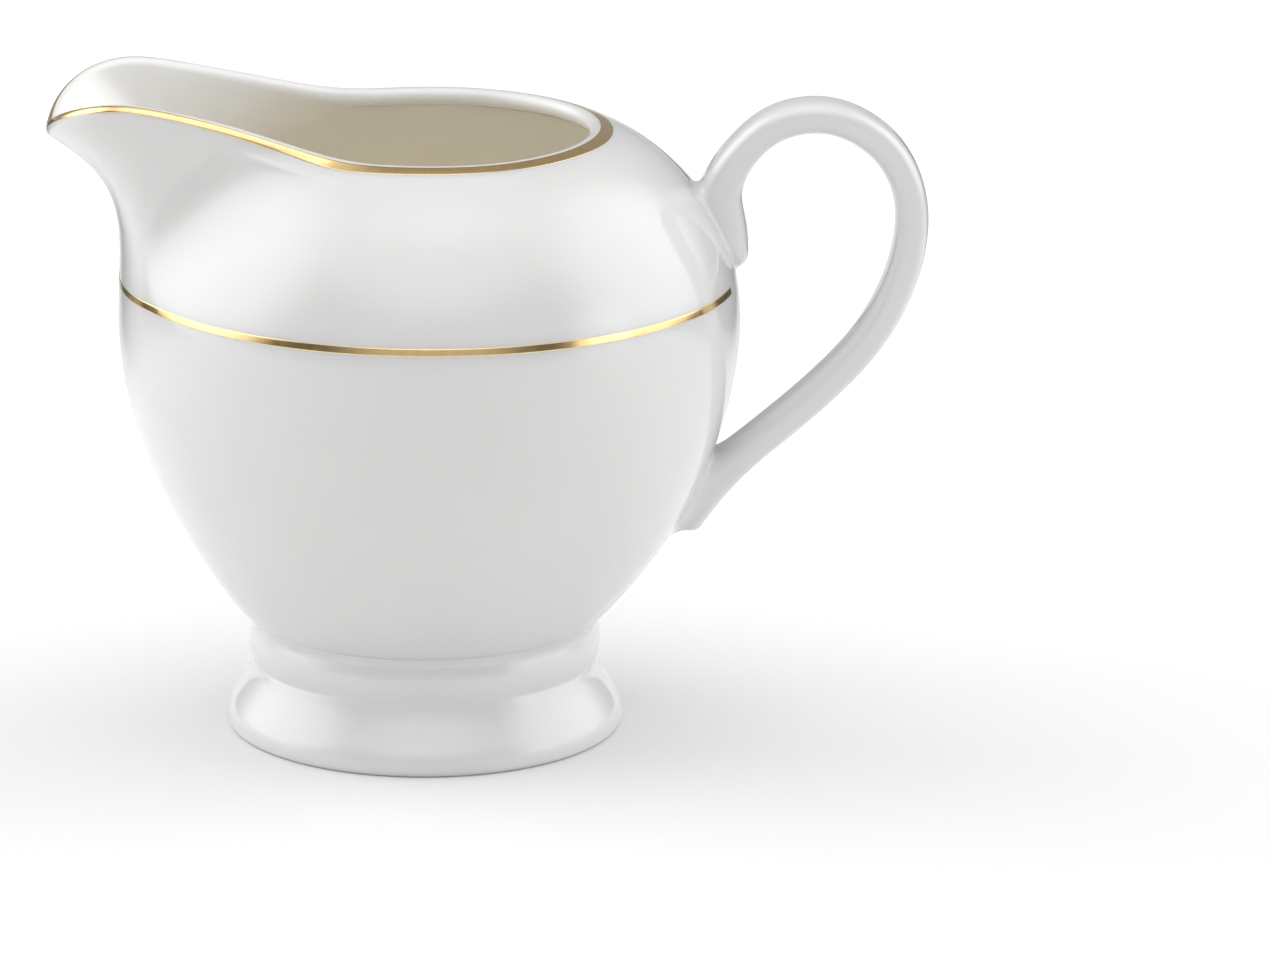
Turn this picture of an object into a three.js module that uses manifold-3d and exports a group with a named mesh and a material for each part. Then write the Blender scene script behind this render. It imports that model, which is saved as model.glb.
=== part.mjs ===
// Porcelain cream jug on a pedestal foot, in millimetres, +Z up, resting on z = 0.
// The spout points to -X and the handle to +X. Every piece is laid out about the foot's own axis, and
// the whole jug is then moved along X, so that its origin is under the middle of its overall box.
import * as THREE from 'three';
import { mergeVertices } from 'three/addons/utils/BufferGeometryUtils.js';
import Module from 'manifold-3d';

// ---- Driving dimensions ----
const ORIGIN_FROM_AXIS = 8.58;      // from the foot's axis to the middle of the overall length

const JOINT_RADIUS = 24.3;          // where the body meets the foot
const JOINT_HEIGHT = 15.5;
const JOINT_SLOPE = 46.8;           // the belly's slope there, in degrees from level
const BELLY_RADIUS = 42.85;         // the widest circle
const BELLY_HEIGHT = 58.3;
const BELLY_SHIFT = 0.7;            // the body's circles sit this far towards the handle
const SHIFT_RISE = 16;              // height over which that shift sets in above the foot
const BELLY_LOW_HANDLE = 14.6;      // lengths of the belly curve's two tangent handles
const BELLY_HIGH_HANDLE = 15.9;
const UNDERSIDE_HEIGHT = 9.2;       // lowest point of the bowl, inside the foot
const UNDERSIDE_HANDLES = [13, 7];

const WALL_AT_RIM = 2.4;
const WALL_AT_BELLY = 2.9;
const WALL_AT_FLOOR = 3.4;

// Half of the rim, from the handle side round to the spout's tip; the other half mirrors it.
// at: the rim's outer edge. rise: the surface's direction there, 0 level towards the axis, 90 straight
// up, 180 level outwards. up and down: tangent handles of the curve from the belly up to the rim.
const RIM = [
  { at: [24.1, 0.0, 85.2], rise: 16, up: 14.4, down: 10.0 },
  { at: [22.4, 8.9, 85.2], rise: 16, up: 14.4, down: 10.0 },
  { at: [17.3, 16.7, 85.1], rise: 16, up: 14.4, down: 10.0 },
  { at: [9.3, 22.0, 85.0], rise: 16, up: 14.4, down: 10.0 },
  { at: [0.0, 23.5, 85.0], rise: 17, up: 14.4, down: 9.9 },
  { at: [-9.0, 22.1, 85.1], rise: 23, up: 14.4, down: 9.3 },
  { at: [-17.1, 19.9, 86.0], rise: 52, up: 14.2, down: 9.4 },
  { at: [-25.1, 17.8, 87.5], rise: 80, up: 13.7, down: 12.0 },
  { at: [-33.1, 16.5, 89.1], rise: 97, up: 13.5, down: 12.8 },
  { at: [-40.8, 15.6, 90.0], rise: 109, up: 13.6, down: 12.4 },
  { at: [-46.9, 12.6, 88.5], rise: 126, up: 14.0, down: 12.9 },
  { at: [-50.3, 6.6, 85.8], rise: 141, up: 14.0, down: 13.5 },
  { at: [-51.2, 0.0, 83.8], rise: 148, up: 14.0, down: 14.0 },
];

const GLAZE_GAP = 0.3;              // clearance at the two luted joints
const GOLD_GAP = 0.2;               // clearance under a gold line
const GOLD_THICKNESS = 0.15;
const RIM_LINE_WIDTH = [2.0, 1.25]; // on the shoulder and on the spout
const GILDING_TILT = 22;            // the rim line stops this many degrees short of the lip's top
const GILDING_STEEP = 60;           // rise at which the line has its width on the spout
const BELLY_LINE_WIDTH = 1.1;
const BELLY_LINE_HEIGHT = 64.25;
const BELLY_LINE_OPENING = 13;      // degrees each side of the handle that the line leaves open

// The foot's outside from the joint down to the resting ring, as radius and height.
const FOOT_OUTSIDE = [
  [24.46, 13.2], [24.5, 11.9], [24.22, 10.3], [24.03, 9.42], [24.72, 7.6], [26.1, 5.1], [27.3, 3.0],
  [27.6, 1.4], [27.45, 0.5],
];
const RESTING_RING = [26.9, 23.6];  // outer and inner radius of the flat ring at z = 0
const FOOT_INSIDE = [[22.6, 2.6], [20.9, 6.4]];
const FOOT_SEAT = [24.0, 20.4];     // outer and inner radius of the seat under the bowl

// The handle's centre line in the XZ plane, from the upper root over the top to the lower root.
const HANDLE_LINE = [
  [39.6, 66.2], [40.5, 70.8], [40.7, 75.8], [42.8, 80.6], [47.3, 85.0], [53.2, 86.7], [59.0, 85.4],
  [64.2, 81.1], [66.95, 74.0], [66.1, 65.3], [62.2, 56.6], [56.2, 49.4], [49.4, 43.2], [43.3, 38.0],
  [38.0, 32.8], [34.3, 28.6],
];
const HANDLE_THICKNESS = 4.5;
const HANDLE_WIDTH = 8.0;
// At its upper and lower root the strap grows to this thickness and width, over this length.
const UPPER_ROOT = { thickness: 10.4, width: 9.4, length: 19 };
const LOWER_ROOT = { thickness: 7.0, width: 9.2, length: 18 };
const ROOT_ROUNDING = 2.6;          // length over which each end is rounded off
const HANDLE_SQUARENESS = 3.2;      // exponent of the section's superellipse; 2 is a plain ellipse

const SEGMENTS = 60;                // steps around the body
const UNDERSIDE_ROWS = 4;
const BELLY_ROWS = 8;
const SHOULDER_ROWS = 9;
const LIP_ROWS = 6;
const LINE_ROWS = 4;                // steps across the rim line
const BELLY_LINE_STEPS = 96;
const FOOT_SEGMENTS = 48;
const HANDLE_STEPS = 42;
const HANDLE_SIDES = 14;

const radians = THREE.MathUtils.degToRad;

// ---- The body's surface ----

// The stations of the whole rim, and the closed curves through their places and their shapes.
const stations = [
  ...RIM,
  ...RIM.slice(1, -1).reverse().map(({ at: [x, y, z], ...shape }) => ({ at: [x, -y, z], ...shape })),
];
const rimPoints = stations.map(({ at }) => new THREE.Vector3(...at));
const shapePoints = stations.map(({ rise, up, down }) => new THREE.Vector3(rise, up, down));
const rimCurve = new THREE.CatmullRomCurve3(rimPoints, true, 'catmullrom');
const shapeCurve = new THREE.CatmullRomCurve3(shapePoints, true, 'catmullrom');

const widestPoint = new THREE.Vector2(BELLY_RADIUS, BELLY_HEIGHT);
const jointPoint = new THREE.Vector2(JOINT_RADIUS, JOINT_HEIGHT);
const jointDirection = new THREE.Vector2(Math.cos(radians(JOINT_SLOPE)), Math.sin(radians(JOINT_SLOPE)));
const undersideCurve = new THREE.CubicBezierCurve(
  new THREE.Vector2(0, UNDERSIDE_HEIGHT),
  new THREE.Vector2(UNDERSIDE_HANDLES[0], UNDERSIDE_HEIGHT),
  jointPoint.clone().addScaledVector(jointDirection, -UNDERSIDE_HANDLES[1]),
  jointPoint);
const bellyCurve = new THREE.CubicBezierCurve(
  jointPoint,
  jointPoint.clone().addScaledVector(jointDirection, BELLY_LOW_HANDLE),
  new THREE.Vector2(BELLY_RADIUS, BELLY_HEIGHT - BELLY_HIGH_HANDLE),
  widestPoint);

// How far the body's circles are shifted towards the handle at a given height.
function shiftAt(height) {
  return BELLY_SHIFT * THREE.MathUtils.smoothstep(height, JOINT_HEIGHT, JOINT_HEIGHT + SHIFT_RISE);
}

// A point of the outside. turn: 0 to 1 around the body from the handle. row: 0 to 1 along the underside
// from the axis, 1 to 2 up the belly, 2 to 3 up the shoulder to the rim.
function outside(turn, row) {
  const rim = rimCurve.getPoint(turn);
  const azimuth = Math.atan2(rim.y, rim.x);
  const outward = new THREE.Vector3(Math.cos(azimuth), Math.sin(azimuth), 0);
  if (row <= 2) {
    const flat = row < 1 ? undersideCurve.getPoint(row) : bellyCurve.getPoint(row - 1);
    const point = outward.multiplyScalar(flat.x);
    point.x += shiftAt(flat.y);
    point.z = flat.y;
    return point;
  }
  const shape = shapeCurve.getPoint(turn);
  const start = outward.clone().multiplyScalar(BELLY_RADIUS);
  start.x += BELLY_SHIFT;
  start.z = BELLY_HEIGHT;
  const rising = outward.clone().multiplyScalar(-Math.cos(radians(shape.x)));
  rising.z = Math.sin(radians(shape.x));
  return new THREE.CubicBezierCurve3(
    start,
    start.clone().add(new THREE.Vector3(0, 0, shape.y)),
    rim.clone().addScaledVector(rising, -shape.z),
    rim).getPoint(row - 2);
}

// The outside's outward normal and its upward direction along the row.
function frameAt(turn, row) {
  const step = 1e-3;
  if (row < step) {
    return { normal: new THREE.Vector3(0, 0, -1), upward: new THREE.Vector3(1, 0, 0) };
  }
  const low = Math.max(row - step, step);
  const high = Math.min(row + step, 3);
  const upward = outside(turn, high).sub(outside(turn, low)).normalize();
  const around = outside(turn + step, row).sub(outside(turn - step, row)).normalize();
  return { normal: around.cross(upward).normalize(), upward };
}

// The outside moved along its normal, outwards if distance is positive.
function offset(turn, row, distance) {
  return outside(turn, row).addScaledVector(frameAt(turn, row).normal, distance);
}

function wallAt(row) {
  if (row < 2) {
    return THREE.MathUtils.lerp(WALL_AT_FLOOR, WALL_AT_BELLY, row / 2);
  }
  return THREE.MathUtils.lerp(WALL_AT_BELLY, WALL_AT_RIM, row - 2);
}

// A point of the rounded lip, from angle 0 at the outside to 180 degrees at the inside, moved out along
// the lip's own normal by distance.
function lip(turn, angle, distance = 0) {
  const { normal, upward } = frameAt(turn, 3);
  const radius = WALL_AT_RIM / 2;
  return outside(turn, 3)
    .addScaledVector(normal, (radius + distance) * Math.cos(radians(angle)) - radius)
    .addScaledVector(upward, (radius + distance) * Math.sin(radians(angle)));
}

// A lathed solid of rows.length rows whose vertices are then placed by the row functions.
function latheOfRows(rows, segments) {
  const geometry = new THREE.LatheGeometry(rows.map((_, i) => new THREE.Vector2(1, i)), segments);
  const position = geometry.attributes.position;
  for (let i = 0; i < position.count; i++) {
    const turn = (Math.floor(i / rows.length) % segments) / segments;
    const point = rows[i % rows.length](turn);
    position.setXYZ(i, point.x, point.y, point.z);
  }
  return geometry;
}

function steps(count, from, to) {
  return Array.from({ length: count }, (_, i) => THREE.MathUtils.lerp(from, to, (i + 1) / count));
}

const ROW_STEPS = [
  ...steps(UNDERSIDE_ROWS, 0, 1),
  ...steps(BELLY_ROWS, 1, 2),
  ...steps(SHOULDER_ROWS, 2, 3),
];

function bodyGeometry() {
  const floor = UNDERSIDE_HEIGHT + WALL_AT_FLOOR;
  const rows = [() => new THREE.Vector3(0, 0, UNDERSIDE_HEIGHT)];
  ROW_STEPS.forEach((row) => rows.push((turn) => outside(turn, row)));
  steps(LIP_ROWS, 0, 180).slice(0, -1).forEach((angle) => rows.push((turn) => lip(turn, angle)));
  ROW_STEPS.toReversed().forEach((row) => rows.push((turn) => offset(turn, row, -wallAt(row))));
  rows.push(() => new THREE.Vector3(0, 0, floor));
  return latheOfRows(rows, SEGMENTS);
}

// The body's outside as a filled solid, grown by the joint clearance, for cutting the handle's roots.
function filledBodyGeometry() {
  const rows = [() => new THREE.Vector3(0, 0, UNDERSIDE_HEIGHT - GLAZE_GAP)];
  ROW_STEPS.forEach((row) => rows.push((turn) => offset(turn, row, GLAZE_GAP)));
  rows.push(() => new THREE.Vector3(0, 0, RIM[0].at[2]));
  return latheOfRows(rows, SEGMENTS);
}

// ---- Gold lines ----

// The row of the shoulder where the outside stands at a given height.
function rowAtHeight(turn, height) {
  let low = 2;
  let high = 3;
  for (let i = 0; i < 30; i++) {
    const middle = (low + high) / 2;
    if (outside(turn, middle).z < height) {
      low = middle;
    } else {
      high = middle;
    }
  }
  return low;
}

// A point near the rim's edge. along: the way from the edge, over the lip if positive and down the
// outside if negative. distance: how far it stands off the surface.
function nearEdge(turn, along, distance) {
  if (along > 0) {
    return lip(turn, THREE.MathUtils.radToDeg(along / (WALL_AT_RIM / 2)), distance);
  }
  const lengthOfRow = outside(turn, 3).distanceTo(outside(turn, 2.9)) / 0.1;
  return offset(turn, 3 + along / lengthOfRow, distance);
}

// The gold climbs the lip's outer side on the spout and starts at the lip's edge elsewhere.
function rimLineGeometry() {
  const place = (share, distance) => (turn) => {
    const rise = shapeCurve.getPoint(turn).x;
    const top = radians(Math.max(rise - GILDING_TILT, 2)) * WALL_AT_RIM / 2;
    const steepness = THREE.MathUtils.smoothstep(rise, RIM[0].rise, GILDING_STEEP);
    const width = THREE.MathUtils.lerp(...RIM_LINE_WIDTH, steepness);
    return nearEdge(turn, top - width * share, distance);
  };
  const shares = [0, ...steps(LINE_ROWS, 0, 1)];
  const rows = [
    ...shares.toReversed().map((share) => place(share, GOLD_GAP + GOLD_THICKNESS)),
    ...shares.map((share) => place(share, GOLD_GAP)),
  ];
  return latheOfRows([...rows, rows[0]], SEGMENTS);
}

// The turn at which the rim curve stands at a given azimuth on the handle side, in degrees.
function turnAtAzimuth(azimuth) {
  let low = 0;
  let high = 0.5;
  for (let i = 0; i < 30; i++) {
    const middle = (low + high) / 2;
    const rim = rimCurve.getPoint(middle);
    if (Math.atan2(rim.y, rim.x) < radians(azimuth)) {
      low = middle;
    } else {
      high = middle;
    }
  }
  return low;
}

// An open ring: a long thin box bent round the body, its two ends beside the handle.
function bellyLineGeometry() {
  const start = turnAtAzimuth(BELLY_LINE_OPENING);
  const geometry = new THREE.BoxGeometry(1, 1, 1, BELLY_LINE_STEPS, 1, 1);
  const position = geometry.attributes.position;
  for (let i = 0; i < position.count; i++) {
    const turn = THREE.MathUtils.lerp(start, 1 - start, position.getX(i) + 0.5);
    const distance = GOLD_GAP + GOLD_THICKNESS * (0.5 - position.getY(i));
    const height = BELLY_LINE_HEIGHT + BELLY_LINE_WIDTH * position.getZ(i);
    const point = offset(turn, rowAtHeight(turn, height), distance);
    position.setXYZ(i, point.x, point.y, height);
  }
  return geometry;
}

// ---- Foot ----

// The foot's seat follows the underside of the bowl at the joint clearance.
function seatPoints(count) {
  const [outer, inner] = FOOT_SEAT;
  return steps(count, outer + (outer - inner) / (count - 1), inner).map((radius) => {
    let low = 0;
    let high = 1;
    for (let i = 0; i < 30; i++) {
      const middle = (low + high) / 2;
      if (undersideCurve.getPoint(middle).x < radius) {
        low = middle;
      } else {
        high = middle;
      }
    }
    const slope = undersideCurve.getTangent(low);
    const clearance = GLAZE_GAP / slope.x;
    return new THREE.Vector2(radius, undersideCurve.getPoint(low).y - clearance);
  });
}

function footGeometry() {
  const seat = seatPoints(4);
  const toVectors = (points) => points.map(([radius, height]) => new THREE.Vector2(radius, height));
  const outerRing = new THREE.Vector2(RESTING_RING[0], 0);
  const innerRing = new THREE.Vector2(RESTING_RING[1], 0);
  const outline = new THREE.SplineCurve([seat[0], ...toVectors(FOOT_OUTSIDE), outerRing]).getPoints(18);
  const inside = new THREE.SplineCurve([innerRing, ...toVectors(FOOT_INSIDE), seat.at(-1)]).getPoints(5);
  const profile = [...outline, ...inside, ...seat.slice(0, -1).reverse()].reverse();
  return new THREE.LatheGeometry(profile, FOOT_SEGMENTS).rotateX(Math.PI / 2);
}

// ---- Handle ----

function superellipse(angle, halfAcross, halfWide) {
  const power = 2 / HANDLE_SQUARENESS;
  const shaped = (value, half) => half * Math.sign(value) * Math.abs(value) ** power;
  return [shaped(Math.cos(angle), halfAcross), shaped(Math.sin(angle), halfWide)];
}

// The strap's size at a distance from one end, and how far that end's rounding has grown.
function sizeAt(fromEnd, root) {
  const share = 1 - THREE.MathUtils.clamp(fromEnd / root.length, 0, 1);
  return {
    thickness: THREE.MathUtils.lerp(HANDLE_THICKNESS, root.thickness, share ** 2),
    width: THREE.MathUtils.lerp(HANDLE_WIDTH, root.width, share ** 2),
    rounding: Math.sqrt(1 - 0.6 * (1 - Math.min(fromEnd / ROOT_ROUNDING, 1)) ** 2),
  };
}

// A closed cylinder bent along the centre line, its ends rounded and its roots thickened.
function handleGeometry() {
  const line = new THREE.SplineCurve(HANDLE_LINE.map(([x, z]) => new THREE.Vector2(x, z)));
  const length = line.getLength();
  const geometry = new THREE.CylinderGeometry(1, 1, 1, HANDLE_SIDES, HANDLE_STEPS);
  const position = geometry.attributes.position;
  for (let i = 0; i < position.count; i++) {
    const along = position.getY(i) + 0.5;
    const { thickness, width, rounding } = along < 0.5
      ? sizeAt(along * length, UPPER_ROOT)
      : sizeAt((1 - along) * length, LOWER_ROOT);
    const size = Math.hypot(position.getX(i), position.getZ(i)) * rounding / 2;
    const angle = Math.atan2(position.getZ(i), position.getX(i));
    const [across, sideways] = superellipse(angle, size * thickness, size * width);
    const centre = line.getPointAt(along);
    const direction = line.getTangentAt(along);
    position.setXYZ(i, centre.x - across * direction.y, sideways, centre.y + across * direction.x);
  }
  return geometry;
}

// ---- Booleans ----

const wasm = await Module();
wasm.setup();

function toSolid(geometry) {
  const bare = geometry.clone();
  bare.deleteAttribute('normal');
  bare.deleteAttribute('uv');
  const merged = mergeVertices(bare, 1e-4);
  return new wasm.Manifold(new wasm.Mesh({
    numProp: 3,
    vertProperties: Float32Array.from(merged.attributes.position.array),
    triVerts: Uint32Array.from(merged.index.array),
  }));
}

function toGeometry(solid) {
  const mesh = solid.getMesh();
  const geometry = new THREE.BufferGeometry();
  geometry.setAttribute('position', new THREE.BufferAttribute(mesh.vertProperties, 3));
  geometry.setIndex(new THREE.BufferAttribute(mesh.triVerts, 1));
  return geometry;
}

// ---- The assembly ----

function finish(color, roughness, metalness) {
  return new THREE.MeshStandardMaterial({ color, roughness, metalness });
}

function piece(name, geometry, material) {
  const mesh = new THREE.Mesh(geometry, material);
  mesh.name = name;
  return mesh;
}

const handleSolid = toSolid(handleGeometry()).subtract(toSolid(filledBodyGeometry()));

const group = new THREE.Group();
group.position.x = -ORIGIN_FROM_AXIS;
group.add(
  piece('body', bodyGeometry(), finish(0xf1efe9, 0.12, 0)),
  piece('foot', footGeometry(), finish(0xefede7, 0.14, 0)),
  piece('handle', toGeometry(handleSolid), finish(0xf2f0ea, 0.12, 0)),
  piece('rim_gold_line', rimLineGeometry(), finish(0xd9ab55, 0.18, 1)),
  piece('belly_gold_line', bellyLineGeometry(), finish(0xdcb05c, 0.2, 1)),
);

export default group;
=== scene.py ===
import math

import bmesh
import bpy
import numpy as np
from mathutils import Matrix, Vector
from mathutils.bvhtree import BVHTree


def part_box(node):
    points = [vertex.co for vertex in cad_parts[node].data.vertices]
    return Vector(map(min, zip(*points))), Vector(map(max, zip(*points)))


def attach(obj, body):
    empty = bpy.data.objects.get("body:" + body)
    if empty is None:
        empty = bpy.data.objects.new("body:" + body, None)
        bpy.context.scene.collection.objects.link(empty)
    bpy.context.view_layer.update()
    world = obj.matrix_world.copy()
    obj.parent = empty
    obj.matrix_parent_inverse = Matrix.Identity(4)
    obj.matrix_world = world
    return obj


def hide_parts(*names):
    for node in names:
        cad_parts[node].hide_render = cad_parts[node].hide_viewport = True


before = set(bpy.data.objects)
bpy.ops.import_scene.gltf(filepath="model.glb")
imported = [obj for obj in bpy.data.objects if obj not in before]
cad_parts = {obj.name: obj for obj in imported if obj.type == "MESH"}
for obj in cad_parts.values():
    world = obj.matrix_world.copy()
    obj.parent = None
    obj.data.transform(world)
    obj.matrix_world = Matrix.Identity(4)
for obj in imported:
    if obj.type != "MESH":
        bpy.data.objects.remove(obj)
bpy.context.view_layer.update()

# ---- Driving dimensions, in millimetres and degrees ----
JOINT_RADIUS, JOINT_HEIGHT, JOINT_SLOPE = 24.3, 15.5, 46.8
BELLY_RADIUS, BELLY_HEIGHT = 42.85, 58.3
BELLY_SHIFT, SHIFT_RISE = 0.7, 16.0
BELLY_LOW_HANDLE, BELLY_HIGH_HANDLE = 14.6, 15.9
UNDERSIDE_HEIGHT = 9.2
UNDERSIDE_HANDLES = (13.0, 7.0)
WALL_AT_RIM, WALL_AT_BELLY, WALL_AT_FLOOR = 2.4, 2.9, 3.4

# Half of the rim from the handle side to the spout's tip: place of the outer edge (x, y, z), then the
# direction in which the surface arrives there and the lengths of its two tangent handles.
RIM = [
    ((24.1, 0.0, 85.2), (16, 14.4, 10.0)),
    ((22.4, 8.9, 85.2), (16, 14.4, 10.0)),
    ((17.3, 16.7, 85.1), (16, 14.4, 10.0)),
    ((9.3, 22.0, 85.0), (16, 14.4, 10.0)),
    ((0.0, 23.5, 85.0), (17, 14.4, 9.9)),
    ((-9.0, 22.1, 85.1), (23, 14.4, 9.3)),
    ((-17.1, 19.9, 86.0), (52, 14.2, 9.4)),
    ((-25.1, 17.8, 87.5), (80, 13.7, 12.0)),
    ((-33.1, 16.5, 89.1), (97, 13.5, 12.8)),
    ((-40.8, 15.6, 90.0), (109, 13.6, 12.4)),
    ((-46.9, 12.6, 88.5), (126, 14.0, 12.9)),
    ((-50.3, 6.6, 85.8), (141, 14.0, 13.5)),
    ((-51.2, 0.0, 83.8), (148, 14.0, 14.0)),
]

MOUTH_HEIGHT = 85.0         # below it the inside is painted brighter and warmer with depth, a painted stand-in for light bouncing inside the jug

GOLD_PROUD = 0.035          # how far the gold film stands off the glaze
GOLD_SUNK = 0.05            # how far its hidden side lies in the glaze
GOLD_EDGE = 0.12            # share of the film's width in which its edge rounds off
RIM_LINE_WIDTH = (2.0, 1.25)     # on the shoulder and on the spout
# The rim line climbs onto the lip as the wall leans out past the first angle, and has its narrow width
# where the wall reaches the second.
GILDING_TILT, GILDING_STEEP = 22.0, 60.0
# The opening is the azimuth from the handle at which each end of the belly line stops.
BELLY_LINE_WIDTH, BELLY_LINE_HEIGHT, BELLY_LINE_OPENING = 1.1, 64.25, 13.0

# The foot's outside from under the bowl down to the table, and its inside back up, as radius and height.
FOOT_OUTSIDE = [
    (25.4, 17.1), (24.75, 15.95), (24.32, 15.3), (24.12, 14.78), (24.24, 14.15), (24.46, 13.2),
    (24.52, 12.3), (24.45, 11.3), (24.22, 10.3), (24.06, 9.75), (24.03, 9.42), (24.17, 9.05),
    (24.72, 7.6), (26.1, 5.1), (27.3, 3.0), (27.6, 1.4), (27.45, 0.5), (26.9, 0.0),
]
FOOT_INSIDE = [(23.6, 0.0), (22.6, 2.6), (20.9, 6.4), (20.2, 13.0)]

# A low fold runs from the rim line on the spout's side down onto the shoulder: its azimuths and its
# depths under the rim's edge at start and end, its height and its half width, and the shares of its
# length by which it has risen and over which it fades.
FOLD_AZIMUTH, FOLD_DEPTH = (149.0, 109.0), (1.6, 3.8)
FOLD_HEIGHT, FOLD_WIDTH = 0.22, 0.5
FOLD_RISEN, FOLD_FADES = 0.25, (0.55, 1.0)

# The handle's centre line in the XZ plane, from the upper root over the top to the lower root.
HANDLE_LINE = [
    (39.6, 66.2), (40.5, 70.8), (40.7, 75.8), (42.8, 80.6), (47.3, 85.0), (53.2, 86.7), (59.0, 85.4),
    (64.2, 81.1), (66.95, 74.0), (66.1, 65.3), (62.2, 56.6), (56.2, 49.4), (49.4, 43.2), (43.3, 38.0),
    (38.0, 32.8), (34.3, 28.6),
]
HANDLE_THICKNESS, HANDLE_WIDTH = 4.5, 8.0
UPPER_ROOT = {"thickness": 10.4, "width": 9.4, "length": 19.0}
LOWER_ROOT = {"thickness": 7.4, "width": 9.2, "length": 18.0}
# The upper end narrows over a length and is closed by a dome. The lower end is cut off level: the height
# of its underside, how far that rises at its sides, and how softly the strap turns into it.
UPPER_ROUNDING, UPPER_DOME = 2.6, 0.9
LOWER_END, LOWER_END_SIDES, LOWER_END_CORNER = 28.1, 1.2, 0.3
LOWER_REACH = 8.0           # how far the strap is followed past its lower end to find the body
HANDLE_SQUARENESS = 3.2
# Radii of the roots' fillets: where the strap leaves the body at an angle, and at its blunt end. The
# cosines of the angle round the strap between which the one becomes the other.
UPPER_FILLET, LOWER_FILLET = (2.4, 0.9), (3.0, 0.9)
UPPER_CROTCH, LOWER_CROTCH = (0.0, 0.9), (-0.95, -0.1)
FILLET_SUNK = 0.02          # how far a fillet's edge lies in the body
ROOT_REACH = 26.0           # length of strap at each end whose rings lean towards the body

# ---- Mesh density ----
AROUND = 400                # steps round the body and the foot
GOLD_AROUND = 3 * AROUND
GOLD_ACROSS = 13
OUTER_ROWS, INNER_ROWS = (12, 40, 90), (8, 22, 44)      # underside, belly, shoulder
ROWS_TO_RIM = 1.6           # above 1, the shoulder's rows crowd towards the rim
LIP_ROWS = 11
FOOT_OUTSIDE_ROWS, FOOT_INSIDE_ROWS, FOOT_RING_ROWS = 90, 40, 6
STRAP_SIDES, STRAP_RINGS, ROOT_RINGS, FILLET_RINGS = 72, 108, 49, 13

# ---- From the shape's millimetres to the frame ----
foot_low, foot_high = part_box("foot")
body_low, body_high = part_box("body")
AXIS_X = (foot_low.x + foot_high.x) / 2
MM = (body_high.y - body_low.y) / (2 * BELLY_RADIUS)


def to_frame(points):
    return np.asarray(points, float) * MM + np.array([AXIS_X, 0.0, foot_low.z])


# ---- Curves ----
def unit(vectors):
    return vectors / np.maximum(np.linalg.norm(vectors, axis=-1, keepdims=True), 1e-12)


def smoothstep(value, low, high):
    share = np.clip((value - low) / (high - low), 0, 1)
    return share * share * (3 - 2 * share)


def spline(points, closed=False):
    """A cubic spline with continuous curvature through points. It is called with values from 0 to 1."""
    points = np.asarray(points, float)
    count = len(points)
    matrix, right = np.zeros((count, count)), np.zeros_like(points)
    for i in range(count):
        if not closed and i in (0, count - 1):
            matrix[i, i] = 1
            continue
        before, after = (i - 1) % count, (i + 1) % count
        matrix[i, before] += 1
        matrix[i, i] += 4
        matrix[i, after] += 1
        right[i] = 6 * (points[before] - 2 * points[i] + points[after])
    bend = np.linalg.solve(matrix, right)
    spans = count if closed else count - 1

    def at(share):
        place = np.asarray(share, float) * spans
        first = np.floor(place).astype(int)
        if not closed:
            first = np.clip(first, 0, spans - 1)
        t = (place - first)[..., None]
        a, b = first % count, (first + 1) % count
        s = 1 - t
        return (s * points[a] + t * points[b]
                + ((s ** 3 - s) * bend[a] + (t ** 3 - t) * bend[b]) / 6)

    return at


def bezier(corners, t):
    a, b, c, d = corners
    t = t[..., None]
    s = 1 - t
    return s ** 3 * a + 3 * s * s * t * b + 3 * s * t * t * c + t ** 3 * d


# ---- The body's surface ----
def rim_stations():
    mirrored = [((x, -y, z), shape) for (x, y, z), shape in RIM[-2:0:-1]]
    return RIM + mirrored


rim_curve = spline([place for place, _ in rim_stations()], closed=True)
shape_curve = spline([shape for _, shape in rim_stations()], closed=True)
joint = np.array([JOINT_RADIUS, JOINT_HEIGHT])
slope = np.array([math.cos(math.radians(JOINT_SLOPE)), math.sin(math.radians(JOINT_SLOPE))])
UNDERSIDE = [
    np.array([0, UNDERSIDE_HEIGHT]), np.array([UNDERSIDE_HANDLES[0], UNDERSIDE_HEIGHT]),
    joint - slope * UNDERSIDE_HANDLES[1], joint,
]
BELLY = [
    joint, joint + slope * BELLY_LOW_HANDLE,
    np.array([BELLY_RADIUS, BELLY_HEIGHT - BELLY_HIGH_HANDLE]), np.array([BELLY_RADIUS, BELLY_HEIGHT]),
]
UP = np.array([0.0, 0.0, 1.0])


def outside(turn, row):
    """Points of the outside. turn: 0 to 1 round from the handle. row: 0 to 1 along the underside from
    the axis, 1 to 2 up the belly, 2 to 3 up the shoulder to the rim."""
    turn, row = np.broadcast_arrays(np.asarray(turn, float), np.asarray(row, float))
    rim, shape = rim_curve(turn), shape_curve(turn)
    azimuth = np.arctan2(rim[..., 1], rim[..., 0])
    outward = np.stack([np.cos(azimuth), np.sin(azimuth), np.zeros_like(azimuth)], -1)
    flat = np.where((row < 1)[..., None], bezier(UNDERSIDE, row), bezier(BELLY, row - 1))
    low = outward * flat[..., :1] + UP * flat[..., 1:]
    low[..., 0] += BELLY_SHIFT * smoothstep(flat[..., 1], JOINT_HEIGHT, JOINT_HEIGHT + SHIFT_RISE)
    start = outward * BELLY_RADIUS + np.array([BELLY_SHIFT, 0, BELLY_HEIGHT])
    rise = np.radians(shape[..., :1])
    rising = -np.cos(rise) * outward + np.sin(rise) * UP
    high = bezier([start, start + UP * shape[..., 1:2], rim - rising * shape[..., 2:3], rim], row - 2)
    return np.where((row <= 2)[..., None], low, high)


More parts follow.
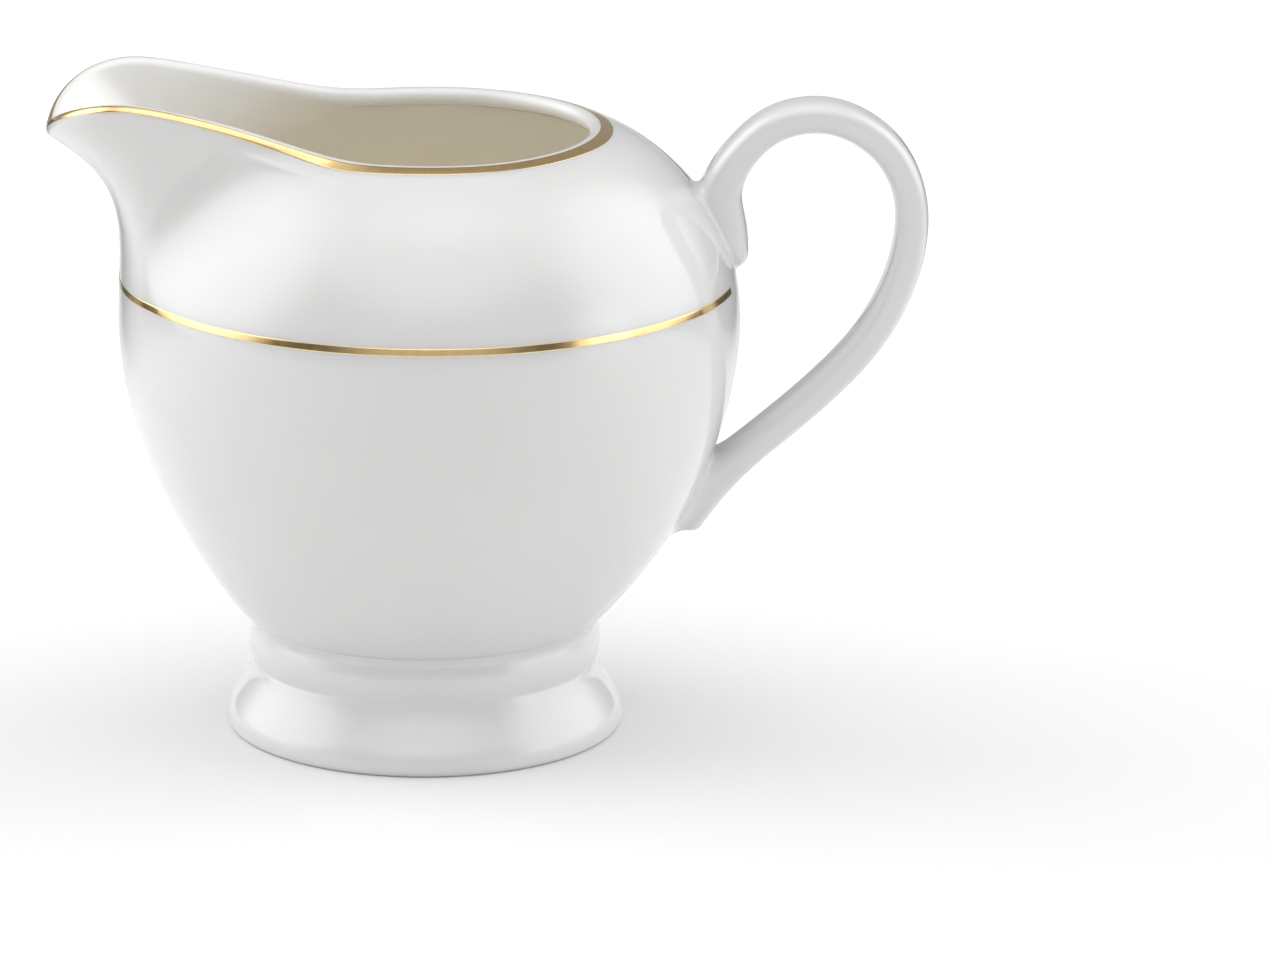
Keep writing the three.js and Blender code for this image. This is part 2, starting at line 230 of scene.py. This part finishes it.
def frame_at(turn, row):
    """The outside's outward normal and its upward direction along the row."""
    turn, row = np.broadcast_arrays(np.asarray(turn, float), np.asarray(row, float))
    step = 1e-3
    low, high = np.maximum(row - step, step), np.minimum(row + step, 3)
    upward = unit(outside(turn, high) - outside(turn, low))
    around = unit(outside(turn + step, row) - outside(turn - step, row))
    return unit(np.cross(around, upward)), upward


def offset(turn, row, distance):
    return outside(turn, row) + frame_at(turn, row)[0] * distance


def row_length(turn):
    """Millimetres per row just under the rim."""
    return np.linalg.norm(outside(turn, 3.0) - outside(turn, 2.9), axis=-1) / 0.1


def fold(turn, row):
    """How far the low fold beside the spout stands off the outside."""
    rim = rim_curve(turn)
    azimuth = np.degrees(np.arctan2(np.abs(rim[..., 1]), rim[..., 0]))
    share = (azimuth - FOLD_AZIMUTH[0]) / (FOLD_AZIMUTH[1] - FOLD_AZIMUTH[0])
    crest = FOLD_DEPTH[0] + (FOLD_DEPTH[1] - FOLD_DEPTH[0]) * share
    away = ((3 - row) * row_length(turn) - crest) / FOLD_WIDTH
    strength = smoothstep(share, 0.0, FOLD_RISEN) * (1 - smoothstep(share, *FOLD_FADES))
    return FOLD_HEIGHT * strength * np.exp(-away ** 2)


def wall_at(row):
    if row < 2:
        return WALL_AT_FLOOR + (WALL_AT_BELLY - WALL_AT_FLOOR) * row / 2
    return WALL_AT_BELLY + (WALL_AT_RIM - WALL_AT_BELLY) * (row - 2)


def lip(turn, angle, distance=0.0):
    """A point of the rounded lip, from angle 0 at the outside to pi at the inside."""
    normal, upward = frame_at(turn, np.full_like(turn, 3.0))
    radius = WALL_AT_RIM / 2
    angle = np.asarray(angle, float)[..., None]
    return (outside(turn, 3.0) + normal * ((radius + distance) * np.cos(angle) - radius)
            + upward * (radius + distance) * np.sin(angle))


# ---- Meshes ----
def make_piece(name, vertices, faces, material, slot_name, node, inside=None):
    """A smooth mesh that rides with the jug and stands for one CAD node. inside: a value per vertex for
    the material, 0 on the outside, up to 0.1 over the lip and growing with depth inside."""
    mesh = bpy.data.meshes.new(name)
    mesh.from_pydata(to_frame(vertices).tolist(), [], faces)
    mesh.validate()
    faced = bmesh.new()
    faced.from_mesh(mesh)
    bmesh.ops.recalc_face_normals(faced, faces=faced.faces)
    faced.to_mesh(mesh)
    faced.free()
    if inside is not None:
        layer = mesh.attributes.new("inside", "FLOAT", "POINT")
        layer.data.foreach_set("value", np.asarray(inside, np.float32))
    mesh.materials.append(material)
    mesh.shade_smooth()
    piece = bpy.data.objects.new(name, mesh)
    bpy.context.scene.collection.objects.link(piece)
    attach(piece, "root")
    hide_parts(node)


def ring_faces(rings, sides, wrap=False):
    """Quads between rings of points, each closed on itself. wrap also joins the last ring to the first."""
    faces = []
    for i in range(rings if wrap else rings - 1):
        a, b = i * sides, (i + 1) % rings * sides
        for j in range(sides):
            k = (j + 1) % sides
            faces.append((a + j, a + k, b + k, b + j))
    return faces


def closed_by_points(rings, first, last):
    """Vertices and faces of a stack of rings closed by a point at each end."""
    count, sides = rings.shape[:2]
    vertices = np.vstack([rings.reshape(-1, 3), first, last])
    faces = ring_faces(count, sides)
    top = (count - 1) * sides
    for j in range(sides):
        k = (j + 1) % sides
        faces.append((k, j, count * sides))
        faces.append((top + j, top + k, count * sides + 1))
    return vertices, faces


turns = np.arange(AROUND) / AROUND


def body_rows(underside, belly, shoulder):
    """Rows of the body's mesh, closer together towards the rim."""
    return np.concatenate([
        np.linspace(0, 1, underside + 1)[1:], np.linspace(1, 2, belly + 1)[1:],
        3 - (1 - np.linspace(0, 1, shoulder + 1)[1:]) ** ROWS_TO_RIM,
    ])


def body_mesh():
    lip_angles = np.linspace(0, math.pi, LIP_ROWS + 2)[1:-1]
    outer = [offset(turns, row, fold(turns, row)[:, None]) for row in body_rows(*OUTER_ROWS)]
    edge = [lip(turns, np.full(AROUND, angle)) for angle in lip_angles]
    inner = [offset(turns, row, -wall_at(row)) for row in body_rows(*INNER_ROWS)[::-1]]
    rings = np.array(outer + edge + inner)
    inside = np.concatenate([
        np.zeros(len(outer) * AROUND), np.repeat(np.linspace(0, 0.1, len(edge)), AROUND),
        0.1 + np.maximum(MOUTH_HEIGHT - np.array(inner)[..., 2].ravel(), 0) / MOUTH_HEIGHT,
    ])
    floor = UNDERSIDE_HEIGHT + WALL_AT_FLOOR
    vertices, faces = closed_by_points(rings, [0, 0, UNDERSIDE_HEIGHT], [0, 0, floor])
    return vertices, faces, np.concatenate([inside, [0.0, inside[-1]]])


def lathe(profile):
    """Rings of a surface of revolution about the foot's axis, from points of radius and height."""
    angle = 2 * math.pi * turns
    return np.array([
        np.stack([radius * np.cos(angle), radius * np.sin(angle), np.full(AROUND, height)], -1)
        for radius, height in profile
    ])


def foot_mesh():
    outer = spline(FOOT_OUTSIDE)(np.linspace(0, 1, FOOT_OUTSIDE_ROWS))
    inner = spline(FOOT_INSIDE)(np.linspace(0, 1, FOOT_INSIDE_ROWS))
    resting = np.linspace(FOOT_OUTSIDE[-1][0], FOOT_INSIDE[0][0], FOOT_RING_ROWS + 2)[1:-1]
    rings = lathe([*outer, *((radius, 0.0) for radius in resting), *inner])
    return rings.reshape(-1, 3), ring_faces(len(rings), AROUND, wrap=True)


def row_at_height(turn, height):
    """The row of the shoulder where the outside stands at a height."""
    low, high = np.full_like(turn, 2.0), np.full_like(turn, 3.0)
    for _ in range(30):
        middle = (low + high) / 2
        below = outside(turn, middle)[..., 2] < height
        low, high = np.where(below, middle, low), np.where(below, high, middle)
    return low


def turn_at_azimuth(azimuth):
    """The turn, up to half round, at which the rim stands at an azimuth from the handle."""
    low, high = 0.0, 0.5
    for _ in range(30):
        middle = (low + high) / 2
        x, y, _ = rim_curve(np.array([middle]))[0]
        if math.atan2(y, x) < math.radians(azimuth):
            low = middle
        else:
            high = middle
    return low


def film_section(count):
    """The closed section of a painted film: places across it from 0 to 1 and heights off the glaze."""
    across = np.linspace(0, 1, count)
    edge = np.clip(np.minimum(across, 1 - across) / GOLD_EDGE, 0, 1)
    proud = GOLD_PROUD * (2 * np.sqrt(np.maximum(edge * (2 - edge), 0)) - 1)
    proud = np.maximum(proud, -GOLD_SUNK)
    return (np.concatenate([across, across[::-1]]),
            np.concatenate([proud, np.full(count, -GOLD_SUNK) - 0.01]))


def rim_line_mesh():
    fine = np.arange(GOLD_AROUND) / GOLD_AROUND
    across, proud = film_section(GOLD_ACROSS)
    rise = shape_curve(fine)[:, 0]
    top = np.radians(np.maximum(rise - GILDING_TILT, 2)) * WALL_AT_RIM / 2
    steep = smoothstep(rise, RIM[0][1][0], GILDING_STEEP)
    width = RIM_LINE_WIDTH[0] + (RIM_LINE_WIDTH[1] - RIM_LINE_WIDTH[0]) * steep
    rings = []
    for share, height in zip(across, proud):
        along = top - width * share
        over = lip(fine, np.maximum(along, 0) / (WALL_AT_RIM / 2), height)
        row = 3 + np.minimum(along, 0) / row_length(fine)
        under = offset(fine, row, (height + fold(fine, row))[:, None])
        rings.append(np.where((along > 0)[:, None], over, under))
    rings = np.array(rings)
    return rings.reshape(-1, 3), ring_faces(len(rings), len(fine), wrap=True)


def belly_line_mesh():
    start = turn_at_azimuth(BELLY_LINE_OPENING)
    fine = np.linspace(start, 1 - start, GOLD_AROUND)
    across, proud = film_section(GOLD_ACROSS)
    sections = []
    for share, height in zip(across, proud):
        level = BELLY_LINE_HEIGHT + BELLY_LINE_WIDTH * (share - 0.5)
        sections.append(offset(fine, row_at_height(fine, level), height))
    rings = np.array(sections).transpose(1, 0, 2)
    return closed_by_points(rings, rings[0].mean(0), rings[-1].mean(0))


# ---- Handle ----
centre_spline = spline(HANDLE_LINE)
fine_line = centre_spline(np.linspace(0, 1, 4001))
arc = np.concatenate([[0], np.cumsum(np.linalg.norm(np.diff(fine_line, axis=0), axis=1))])
HANDLE_LENGTH = arc[-1]


def centre_at(along):
    """Point and direction of the centre line at a length from its start; straight past its ends."""
    inside = np.clip(along, 0, HANDLE_LENGTH)
    step = 0.02
    low, high = np.clip(inside - step, 0, HANDLE_LENGTH), np.clip(inside + step, 0, HANDLE_LENGTH)

    def point(length):
        return np.stack([np.interp(length, arc, fine_line[:, i]) for i in (0, 1)], -1)

    direction = unit(point(high) - point(low))
    return point(inside) + direction * (along - inside)[..., None], direction


def strap(along, angle):
    """Points of the handle's surface at a length along it and an angle round its section."""
    centre, direction = centre_at(along)
    from_end = np.minimum(along, HANDLE_LENGTH - along)
    upper = along < HANDLE_LENGTH / 2
    length = np.where(upper, UPPER_ROOT["length"], LOWER_ROOT["length"])
    share = (1 - np.clip(from_end / length, 0, 1)) ** 2
    thickness = HANDLE_THICKNESS + share * (
        np.where(upper, UPPER_ROOT["thickness"], LOWER_ROOT["thickness"]) - HANDLE_THICKNESS)
    width = HANDLE_WIDTH + share * (
        np.where(upper, UPPER_ROOT["width"], LOWER_ROOT["width"]) - HANDLE_WIDTH)
    rounding = np.sqrt(1 - 0.6 * (1 - np.clip(along / UPPER_ROUNDING, 0, 1)) ** 2)
    dome = np.sqrt(np.clip(1 - (np.minimum(along, 0) / UPPER_DOME) ** 2, 0, 1))
    power = 2 / HANDLE_SQUARENESS
    cos, sin = np.cos(angle), np.sin(angle)
    across = np.sign(cos) * np.abs(cos) ** power * thickness / 2 * rounding * dome
    sideways = np.sign(sin) * np.abs(sin) ** power * width / 2 * rounding * dome
    height = centre[..., 1] + across * direction[..., 0]
    lowest = LOWER_END + LOWER_END_SIDES * (1 - np.abs(cos) ** power)
    cut_off = lowest + LOWER_END_CORNER * np.logaddexp(0, (height - lowest) / LOWER_END_CORNER)
    return np.stack([
        centre[..., 0] - across * direction[..., 1], sideways, np.where(upper, height, cut_off),
    ], -1)


def body_tree(vertices, faces):
    return BVHTree.FromPolygons([Vector(v) for v in vertices], faces)


def distance_to(tree, point):
    """Signed distance to the body, positive outside, with the nearest point and its normal."""
    near, normal, _, _ = tree.find_nearest(Vector(point))
    gap = Vector(point) - near
    sign = 1 if gap.dot(normal) >= 0 else -1
    return sign * gap.length, np.array(near), np.array(normal)


def crossing(tree, angle, start, end):
    """The length along the strap, going from start to end, at which a line of it enters the body."""
    outside_at, step = start, (end - start) / 80
    while True:
        following = outside_at + step
        if (following - end) * step > 0:
            return end
        if distance_to(tree, strap(np.array(following), angle))[0] < 0:
            break
        outside_at = following
    inside_at = following
    for _ in range(16):
        middle = (outside_at + inside_at) / 2
        if distance_to(tree, strap(np.array(middle), angle))[0] < 0:
            inside_at = middle
        else:
            outside_at = middle
    return outside_at


def root_rings(tree, angles, lengths, inward, fillets):
    """Rings of the fillet between the strap and the body, from the body to the strap, after two rings
    that dive into the wall beyond it. lengths: where each line of the strap meets the body."""
    rings = np.zeros((FILLET_RINGS + 2, len(angles), 3))
    starts = np.zeros(len(angles))
    corners = strap(lengths, angles)
    outline = np.roll(corners, -2, 0) - np.roll(corners, 2, 0)
    for j, (angle, length, fillet) in enumerate(zip(angles, lengths, fillets)):
        corner = corners[j]
        along = length
        while abs(along - length) < 3.0 * fillet:
            along += 0.05 * inward
            if distance_to(tree, strap(np.array(along), angle))[0] > fillet:
                break
        starts[j] = along
        on_strap = strap(np.array(along), angle)
        _, _, body_normal = distance_to(tree, corner)
        away = unit(np.cross(outline[j], body_normal))
        if away @ (corner - corners.mean(0)) < 0:
            away = -away
        _, on_body, normal = distance_to(tree, corner + away * fillet)
        on_body -= normal * FILLET_SUNK
        t = np.linspace(0, 1, FILLET_RINGS)[:, None]
        rings[2:, j] = (1 - t) ** 2 * on_body + 2 * t * (1 - t) * corner + t * t * on_strap
        rings[1, j] = on_body + away * 0.4 - normal * 0.08
        rings[0, j] = on_body + away * 0.8 - normal * 0.38
    return rings, starts


def handle_mesh(tree):
    angles = 2 * math.pi * (np.arange(STRAP_SIDES) + 0.5) / STRAP_SIDES
    upper_common, lower_common = ROOT_REACH, HANDLE_LENGTH - ROOT_REACH
    upper = np.array([crossing(tree, a, upper_common, -UPPER_DOME) for a in angles])
    lower = np.array([crossing(tree, a, lower_common, HANDLE_LENGTH + LOWER_REACH) for a in angles])
    crotch = smoothstep(np.cos(angles), *UPPER_CROTCH)
    fillets = UPPER_FILLET[1] + (UPPER_FILLET[0] - UPPER_FILLET[1]) * crotch
    upper_root, upper_start = root_rings(tree, angles, upper, 1, fillets)
    crotch = smoothstep(-np.cos(angles), *LOWER_CROTCH)
    fillets = LOWER_FILLET[1] + (LOWER_FILLET[0] - LOWER_FILLET[1]) * crotch
    lower_root, lower_start = root_rings(tree, angles, lower, -1, fillets)
    rings = list(upper_root)
    for share in np.linspace(0, 1, ROOT_RINGS + 1)[1:]:
        rings.append(strap(upper_start + (upper_common - upper_start) * share, angles))
    for along in np.linspace(upper_common, lower_common, STRAP_RINGS + 2)[1:-1]:
        rings.append(strap(np.full(STRAP_SIDES, along), angles))
    for share in np.linspace(0, 1, ROOT_RINGS + 1)[:-1]:
        rings.append(strap(lower_common + (lower_start - lower_common) * share, angles))
    rings += list(lower_root[::-1])
    rings = np.array(rings)
    ends = []
    for ring in (rings[0], rings[-1]):
        _, near, normal = distance_to(tree, ring.mean(0))
        ends.append(near - normal)
    return closed_by_points(rings, *ends)


# ---- Materials ----
def new_material(name):
    material = bpy.data.materials.new(name)
    material.use_nodes = True
    tree = material.node_tree
    return material, tree, tree.nodes["Principled BSDF"]


def add(tree, kind, **inputs):
    node = tree.nodes.new(kind)
    for key, value in inputs.items():
        node.inputs[key.replace("_", " ")].default_value = value
    return node


def noise(tree, scale, detail=2.0):
    place = tree.nodes.new("ShaderNodeTexCoord")
    node = add(tree, "ShaderNodeTexNoise", Scale=scale, Detail=detail)
    tree.links.new(place.outputs["Object"], node.inputs["Vector"])
    return node.outputs["Fac"]


def remap(tree, value, source, target):
    node = tree.nodes.new("ShaderNodeMapRange")
    tree.links.new(value, node.inputs["Value"])
    for key, number in zip(("From Min", "From Max", "To Min", "To Max"), (*source, *target)):
        node.inputs[key].default_value = number
    return node.outputs["Result"]


def mix(tree, share, first, second):
    node = tree.nodes.new("ShaderNodeMix")
    node.data_type = "RGBA"
    tree.links.new(share, node.inputs["Factor"])
    for socket, value in ((node.inputs[6], first), (node.inputs[7], second)):
        if isinstance(value, tuple):
            socket.default_value = (*value, 1)
        else:
            tree.links.new(value, socket)
    return node.outputs[2]


def attribute(tree, name):
    node = tree.nodes.new("ShaderNodeAttribute")
    node.attribute_name = name
    return node.outputs["Fac"]


def bump(tree, height, distance, strength):
    node = tree.nodes.new("ShaderNodeBump")
    node.inputs["Distance"].default_value = distance
    node.inputs["Strength"].default_value = strength
    tree.links.new(height, node.inputs["Height"])
    return node.outputs["Normal"]


def glaze_surface(tree, shader):
    """Clear glaze over porcelain: a glossy coat with the faint waviness of a fired surface."""
    shader.inputs["Roughness"].default_value = 0.38
    shader.inputs["IOR"].default_value = 1.5
    shader.inputs["Coat Weight"].default_value = 1.0
    shader.inputs["Coat Roughness"].default_value = 0.045
    shader.inputs["Coat IOR"].default_value = 1.5
    wavy = bump(tree, noise(tree, 160.0, 1.0), 0.00004, 0.35)
    tree.links.new(wavy, shader.inputs["Coat Normal"])


def porcelain(name, translucent=False):
    material, tree, shader = new_material(name)
    if translucent:
        shader.inputs["Subsurface Weight"].default_value = 0.5
        shader.inputs["Subsurface Radius"].default_value = (1.0, 0.92, 0.8)
        shader.inputs["Subsurface Scale"].default_value = 0.004
    mottle = remap(tree, noise(tree, 45.0, 3.0), (0.3, 0.7), (0, 1))
    outer = mix(tree, mottle, (0.664, 0.665, 0.663), (0.680, 0.681, 0.679))
    # Painted light: the inside is painted much brighter and warmer than the outside grey of the same
    # glaze, a painted stand-in for light bouncing inside the jug.
    inner = mix(tree, mottle, (0.965, 0.905, 0.780), (0.977, 0.917, 0.792))
    over_lip = remap(tree, attribute(tree, "inside"), (0.0, 0.1), (0, 1))
    deep = remap(tree, attribute(tree, "inside"), (0.1, 0.42), (0, 1))
    # Painted light: the outside grey turns over the lip into a painted lighter grey on the lip and the
    # shallow inside.
    painted_bright_lip = mix(tree, over_lip, outer, (0.830, 0.828, 0.815))
    tree.links.new(mix(tree, deep, painted_bright_lip, inner), shader.inputs["Base Color"])
    glaze_surface(tree, shader)
    return material


def gold():
    material, tree, shader = new_material("gold_fired")
    streaks = remap(tree, noise(tree, 900.0, 2.0), (0.3, 0.7), (0, 1))
    colour = mix(tree, streaks, (0.88, 0.64, 0.30), (0.92, 0.69, 0.36))
    tree.links.new(colour, shader.inputs["Base Color"])
    shader.inputs["Metallic"].default_value = 1.0
    worn = remap(tree, noise(tree, 500.0, 2.0), (0.3, 0.7), (0.12, 0.2))
    tree.links.new(worn, shader.inputs["Roughness"])
    return material


def floor_material():
    material, tree, shader = new_material("studio_floor")
    shader.inputs["Base Color"].default_value = (*FLOOR_COLOUR, 1)
    shader.inputs["Roughness"].default_value = 0.7
    return material


# ---- Studio ----
FLOOR_COLOUR, CARD_COLOUR = (0.83, 0.83, 0.83), (0.08, 0.08, 0.08)
FLOOR_HALF = 3.0                # metres
CAMERA_ELEVATION = 14.646       # degrees above level
CAMERA_DISTANCE = 1089.3
TARGET_HEIGHT = 63.79
LENS, SENSOR = 223.9, 36.0
AIM_RIGHT, AIM_DOWN = 29.0, 27.7    # from the target to the middle of the picture


def make_camera():
    elevation = math.radians(CAMERA_ELEVATION)
    target = Vector(to_frame([0, 0, TARGET_HEIGHT]))
    back = Vector((0, -math.cos(elevation), math.sin(elevation)))
    upward = Vector((0, math.sin(elevation), math.cos(elevation)))
    location = target + back * CAMERA_DISTANCE * MM
    aim = target + (Vector((1, 0, 0)) * AIM_RIGHT - upward * AIM_DOWN) * MM
    level = Matrix((Vector((1, 0, 0)), upward, back)).transposed()
    turn = (-back).rotation_difference((aim - location).normalized())
    data = bpy.data.cameras.new("camera")
    data.lens, data.sensor_width = LENS, SENSOR
    data.clip_start, data.clip_end = 0.01, 50.0
    camera = bpy.data.objects.new("camera", data)
    camera.rotation_mode = "QUATERNION"
    camera.location = location
    camera.rotation_quaternion = turn @ level.to_quaternion()
    bpy.context.scene.collection.objects.link(camera)
    bpy.context.scene.camera = camera


# The studio is a dim room with round diffused lights. Each has an azimuth (0 behind the camera, 90 to
# the right) and an elevation, the radius of its bright part and of the soft edge round it, and a radiance.
STUDIO_LIGHTS = {
    "overhead": (0, 63, 14, 44, 1.30),
    "top": (180, 84, 8, 34, 0.55),
    "front": (0, 16, 12, 42, 0.44),
    "back": (180, 26, 20, 75, 0.20),
    "left": (-100, 27, 14, 46, 2.20),
    "right": (100, 27, 14, 44, 1.92),
    "strip_right": (67, 6, 5, 16, 1.50),
}
ROOM_LIGHT = 0.12
# A softbox over the floor behind the jug, in metres.
BACK_LIGHT_PLACE, BACK_LIGHT_SIZE, BACK_LIGHT_WATTS = (0.0, 0.45, 0.9), (0.9, 0.6), 1.5
# A card on that floor, in metres: its near and far edges and half width, the depth by which it has
# become dark, and between which distances from its middle line the dark part grows from what share.
CARD_NEAR, CARD_FAR, CARD_SIDE, CARD_HEIGHT = 0.10, 1.6, 1.6, 0.001
CARD_DARK = 0.20
CARD_MIDDLE, CARD_MIDDLE_DARK = (0.10, 0.14), (0.3, 1.0)


def direction(azimuth, elevation):
    azimuth, elevation = math.radians(azimuth), math.radians(elevation)
    return (math.sin(azimuth) * math.cos(elevation), -math.cos(azimuth) * math.cos(elevation),
            math.sin(elevation))


def make_lights():
    world = bpy.data.worlds.new("studio")
    world.use_nodes = True
    tree = world.node_tree
    looking = tree.nodes.new("ShaderNodeTexCoord").outputs["Generated"]
    total = None
    for azimuth, elevation, bright, soft, radiance in STUDIO_LIGHTS.values():
        towards = tree.nodes.new("ShaderNodeVectorMath")
        towards.operation = "DOT_PRODUCT"
        tree.links.new(looking, towards.inputs[0])
        towards.inputs[1].default_value = direction(azimuth, elevation)
        edge = tree.nodes.new("ShaderNodeMapRange")
        edge.interpolation_type = "SMOOTHSTEP"
        edge.inputs["From Min"].default_value = math.cos(math.radians(soft))
        edge.inputs["From Max"].default_value = math.cos(math.radians(bright))
        tree.links.new(towards.outputs["Value"], edge.inputs["Value"])
        level = tree.nodes.new("ShaderNodeMath")
        level.operation = "MULTIPLY_ADD"
        level.inputs[1].default_value = radiance
        level.inputs[2].default_value = ROOM_LIGHT
        tree.links.new(edge.outputs["Result"], level.inputs[0])
        if total is not None:
            tree.links.new(total, level.inputs[2])
        total = level.outputs["Value"]
    background = tree.nodes["Background"]
    background.inputs["Color"].default_value = (1, 1, 1, 1)
    tree.links.new(total, background.inputs["Strength"])
    bpy.context.scene.world = world
    bpy.context.scene.view_settings.view_transform = "Standard"


def make_sheet(name, side, near, far, height, material):
    """A level rectangle of the studio."""
    mesh = bpy.data.meshes.new(name)
    mesh.from_pydata([
        (-side, near, height), (side, near, height), (side, far, height), (-side, far, height),
    ], [], [(0, 1, 2, 3)])
    mesh.materials.append(material)
    sheet = bpy.data.objects.new(name, mesh)
    bpy.context.scene.collection.objects.link(sheet)
    return sheet


def make_back_light():
    data = bpy.data.lights.new("back_light", "AREA")
    data.shape = "RECTANGLE"
    (data.size, data.size_y), data.energy = BACK_LIGHT_SIZE, BACK_LIGHT_WATTS
    light = bpy.data.objects.new("back_light", data)
    light.location = BACK_LIGHT_PLACE
    light.visible_camera = light.visible_glossy = False
    bpy.context.scene.collection.objects.link(light)


def make_card():
    """A card graded from pale to dark on the floor behind the jug, paler along its middle. Only
    reflections see it: it darkens the ends of the gold lines and the sides of the glaze."""
    material, tree, shader = new_material("graded_card")
    split = tree.nodes.new("ShaderNodeSeparateXYZ")
    tree.links.new(tree.nodes.new("ShaderNodeTexCoord").outputs["Object"], split.inputs["Vector"])
    aside = tree.nodes.new("ShaderNodeMath")
    aside.operation = "ABSOLUTE"
    tree.links.new(split.outputs["X"], aside.inputs[0])
    dark = tree.nodes.new("ShaderNodeMath")
    dark.operation = "MULTIPLY"
    tree.links.new(remap(tree, split.outputs["Y"], (CARD_NEAR, CARD_DARK), (0, 1)), dark.inputs[0])
    tree.links.new(remap(tree, aside.outputs["Value"], CARD_MIDDLE, CARD_MIDDLE_DARK), dark.inputs[1])
    shade = dark.outputs["Value"]
    tree.links.new(mix(tree, shade, FLOOR_COLOUR, CARD_COLOUR), shader.inputs["Base Color"])
    shader.inputs["Specular IOR Level"].default_value = 0.0
    card = make_sheet("card", CARD_SIDE, CARD_NEAR, CARD_FAR, CARD_HEIGHT, material)
    card.visible_camera = card.visible_diffuse = card.visible_shadow = False


def make_floor():
    make_sheet("floor", FLOOR_HALF, -FLOOR_HALF, FLOOR_HALF, 0, floor_material())


# ---- The jug ----
def make_jug():
    thin, clay, gilt = porcelain("porcelain_thin", translucent=True), porcelain("porcelain_thick"), gold()
    vertices, faces, inside = body_mesh()
    make_piece("jug_body", vertices, faces, thin, "porcelain", "body", inside)
    make_piece("jug_foot", *foot_mesh(), clay, "porcelain", "foot")
    make_piece("jug_handle", *handle_mesh(body_tree(vertices, faces)), clay, "porcelain", "handle")
    make_piece("gold_rim_line", *rim_line_mesh(), gilt, "gold", "rim_gold_line")
    make_piece("gold_belly_line", *belly_line_mesh(), gilt, "gold", "belly_gold_line")


make_jug()
make_floor()
make_lights()
make_back_light()
make_card()
make_camera()
